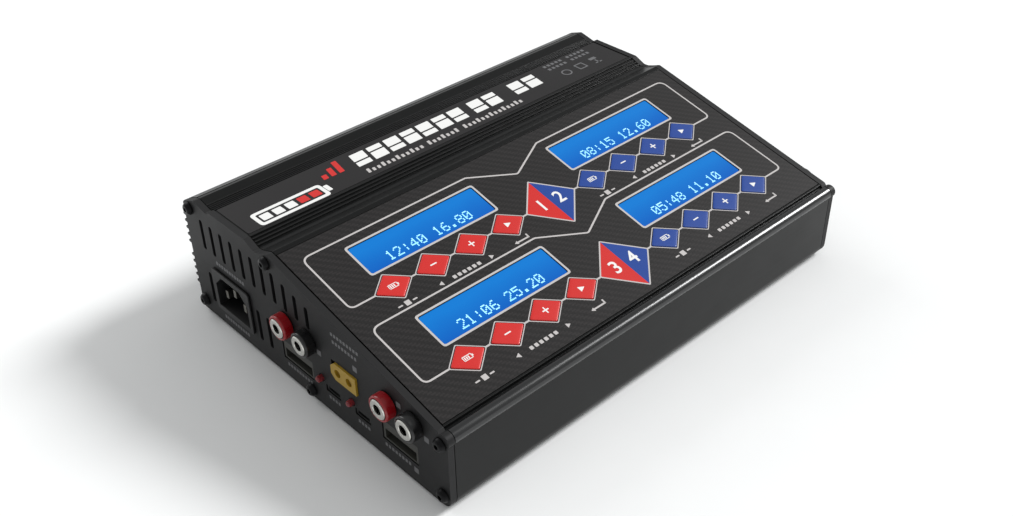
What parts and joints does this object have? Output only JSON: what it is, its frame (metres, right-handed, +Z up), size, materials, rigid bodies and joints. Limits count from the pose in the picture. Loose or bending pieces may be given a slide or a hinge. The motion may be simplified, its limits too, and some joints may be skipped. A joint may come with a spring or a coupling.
{
  "type": "balance battery charger",
  "caption": "Multi-channel balance battery charger: an extruded aluminium case with a sloping keypad and displays on top and sockets on both end plates.",
  "frame": {"origin": "on the floor under the middle of the charger's bounding box, so the feet stand on z = 0", "axes": "+X along the case from the left end plate, which has the mains and 12 V inlets, to the right end plate, which has the fan; +Y from the low front edge to the finned back; +Z up"},
  "size_m": [0.2454, 0.181, 0.0619],
  "materials": {
    "case": "black anodised, satin",
    "plate": "matte dark grey anodised",
    "film": "matte printed polyester film",
    "display": "glossy backlit blue",
    "red_key": "satin",
    "blue_key": "satin",
    "circuit_board": "solder resist",
    "red_socket": "moulded, glossy",
    "black_socket": "moulded, glossy",
    "yellow_nylon": "moulded nylon",
    "grey_nylon": "moulded nylon",
    "black_plastic": "fine textured",
    "screw": "black oxide",
    "rubber": "matte"
  },
  "bodies": {
    "case": {"ac_inlet": "black_plastic", "balance_socket_left_back": "grey_nylon", "balance_socket_left_front": "grey_nylon", "balance_socket_right_back": "grey_nylon", "balance_socket_right_front": "grey_nylon", "banana_left_back_minus": "black_socket", "banana_left_back_plus": "red_socket", "banana_left_front_minus": "black_socket", "banana_left_front_plus": "red_socket", "banana_right_back_minus": "black_socket", "banana_right_back_plus": "red_socket", "banana_right_front_minus": "black_socket", "banana_right_front_plus": "red_socket", "base_plate": "case", "dc_inlet": "yellow_nylon", "end_plate_left": "plate", "end_plate_right": "plate", "fan_frame": "black_plastic", "foot_left_back": "rubber", "foot_left_front": "rubber", "foot_right_back": "rubber", "foot_right_front": "rubber", "keypad_overlay": "film", "lcd_module_1": "display", "lcd_module_2": "display", "lcd_module_3": "display", "lcd_module_4": "display", "main_board": "circuit_board", "power_board": "circuit_board", "screw_left_bottom_back": "screw", "screw_left_bottom_front": "screw", "screw_left_bottom_middle": "screw", "screw_left_top_back": "screw", "screw_left_top_front": "screw", "screw_left_top_middle": "screw", "screw_right_bottom_back": "screw", "screw_right_bottom_front": "screw", "screw_right_bottom_middle": "screw", "screw_right_top_back": "screw", "screw_right_top_front": "screw", "screw_right_top_middle": "screw", "switch_board": "circuit_board", "upper_case": "case"},
    "fan": {"fan_rotor": "black_plastic"},
    "key_1_type_cap": {"key_1_type": "red_key"},
    "key_1_down_cap": {"key_1_down": "red_key"},
    "key_1_up_cap": {"key_1_up": "red_key"},
    "key_1_start_cap": {"key_1_start": "red_key"},
    "key_2_type_cap": {"key_2_type": "blue_key"},
    "key_2_down_cap": {"key_2_down": "blue_key"},
    "key_2_up_cap": {"key_2_up": "blue_key"},
    "key_2_start_cap": {"key_2_start": "blue_key"},
    "key_3_type_cap": {"key_3_type": "red_key"},
    "key_3_down_cap": {"key_3_down": "red_key"},
    "key_3_up_cap": {"key_3_up": "red_key"},
    "key_3_start_cap": {"key_3_start": "red_key"},
    "key_4_type_cap": {"key_4_type": "blue_key"},
    "key_4_down_cap": {"key_4_down": "blue_key"},
    "key_4_up_cap": {"key_4_up": "blue_key"},
    "key_4_start_cap": {"key_4_start": "blue_key"}
  },
  "joints": [
    {"name": "fan_spin", "type": "hinge", "parent": "case", "child": "fan", "pos_m": [0.1042, 0.048, 0.0296], "axis": [1, 0, 0], "continuous": true},
    {"name": "key_1_type_press", "type": "slide", "parent": "case", "child": "key_1_type_cap", "axis": [0, 0.23, -0.9732], "range_m": [0, 0.0004], "stiffness_N_per_m": 800},
    {"name": "key_1_down_press", "type": "slide", "parent": "case", "child": "key_1_down_cap", "axis": [0, 0.23, -0.9732], "range_m": [0, 0.0004], "stiffness_N_per_m": 800},
    {"name": "key_1_up_press", "type": "slide", "parent": "case", "child": "key_1_up_cap", "axis": [0, 0.23, -0.9732], "range_m": [0, 0.0004], "stiffness_N_per_m": 800},
    {"name": "key_1_start_press", "type": "slide", "parent": "case", "child": "key_1_start_cap", "axis": [0, 0.23, -0.9732], "range_m": [0, 0.0004], "stiffness_N_per_m": 800},
    {"name": "key_2_type_press", "type": "slide", "parent": "case", "child": "key_2_type_cap", "axis": [0, 0.23, -0.9732], "range_m": [0, 0.0004], "stiffness_N_per_m": 800},
    {"name": "key_2_down_press", "type": "slide", "parent": "case", "child": "key_2_down_cap", "axis": [0, 0.23, -0.9732], "range_m": [0, 0.0004], "stiffness_N_per_m": 800},
    {"name": "key_2_up_press", "type": "slide", "parent": "case", "child": "key_2_up_cap", "axis": [0, 0.23, -0.9732], "range_m": [0, 0.0004], "stiffness_N_per_m": 800},
    {"name": "key_2_start_press", "type": "slide", "parent": "case", "child": "key_2_start_cap", "axis": [0, 0.23, -0.9732], "range_m": [0, 0.0004], "stiffness_N_per_m": 800},
    {"name": "key_3_type_press", "type": "slide", "parent": "case", "child": "key_3_type_cap", "axis": [0, 0.23, -0.9732], "range_m": [0, 0.0004], "stiffness_N_per_m": 800},
    {"name": "key_3_down_press", "type": "slide", "parent": "case", "child": "key_3_down_cap", "axis": [0, 0.23, -0.9732], "range_m": [0, 0.0004], "stiffness_N_per_m": 800},
    {"name": "key_3_up_press", "type": "slide", "parent": "case", "child": "key_3_up_cap", "axis": [0, 0.23, -0.9732], "range_m": [0, 0.0004], "stiffness_N_per_m": 800},
    {"name": "key_3_start_press", "type": "slide", "parent": "case", "child": "key_3_start_cap", "axis": [0, 0.23, -0.9732], "range_m": [0, 0.0004], "stiffness_N_per_m": 800},
    {"name": "key_4_type_press", "type": "slide", "parent": "case", "child": "key_4_type_cap", "axis": [0, 0.23, -0.9732], "range_m": [0, 0.0004], "stiffness_N_per_m": 800},
    {"name": "key_4_down_press", "type": "slide", "parent": "case", "child": "key_4_down_cap", "axis": [0, 0.23, -0.9732], "range_m": [0, 0.0004], "stiffness_N_per_m": 800},
    {"name": "key_4_up_press", "type": "slide", "parent": "case", "child": "key_4_up_cap", "axis": [0, 0.23, -0.9732], "range_m": [0, 0.0004], "stiffness_N_per_m": 800},
    {"name": "key_4_start_press", "type": "slide", "parent": "case", "child": "key_4_start_cap", "axis": [0, 0.23, -0.9732], "range_m": [0, 0.0004], "stiffness_N_per_m": 800}
  ]
}
